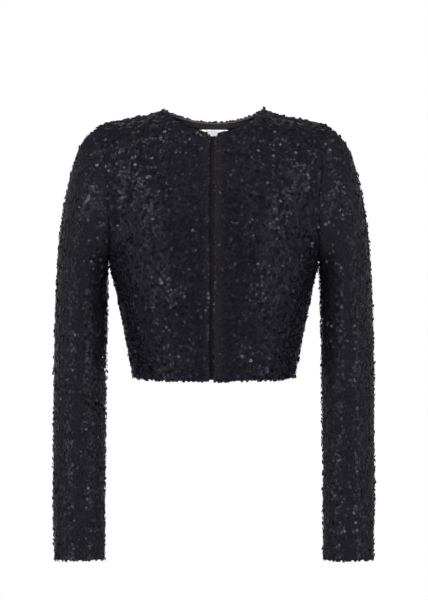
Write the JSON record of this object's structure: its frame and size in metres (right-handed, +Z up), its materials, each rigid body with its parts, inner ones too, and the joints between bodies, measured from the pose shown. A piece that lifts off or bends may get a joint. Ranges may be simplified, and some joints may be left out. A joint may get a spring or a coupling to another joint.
{
  "type": "cardigan",
  "caption": "Cropped long-sleeved black sequinned cardigan with a round neck and edge-to-edge fronts, in its worn hollow form.",
  "frame": {"origin": "inside the neck between the shoulders, 30 mm below the neck points and 5 mm in front of them", "axes": "+Z up, from the hem to the neck; +Y from the front to the back; +X towards the wearer's left"},
  "size_m": [0.4802, 0.2184, 0.676],
  "materials": {
    "back sequins": "glossy black sequins on dark knit",
    "front left sequins": "glossy black sequins on dark knit",
    "front right sequins": "glossy black sequins on dark knit",
    "sleeve left sequins": "glossy black sequins on dark knit",
    "sleeve right sequins": "glossy black sequins on dark knit",
    "facing knit": "matt dark knit",
    "label satin": "plain white satin"
  },
  "bodies": {
    "root": {"back": "back sequins", "front_left": "front left sequins", "front_right": "front right sequins", "sleeve_left": "sleeve left sequins", "sleeve_right": "sleeve right sequins", "neck_facing": "facing knit", "label": "label satin"}
  },
  "joints": []
}
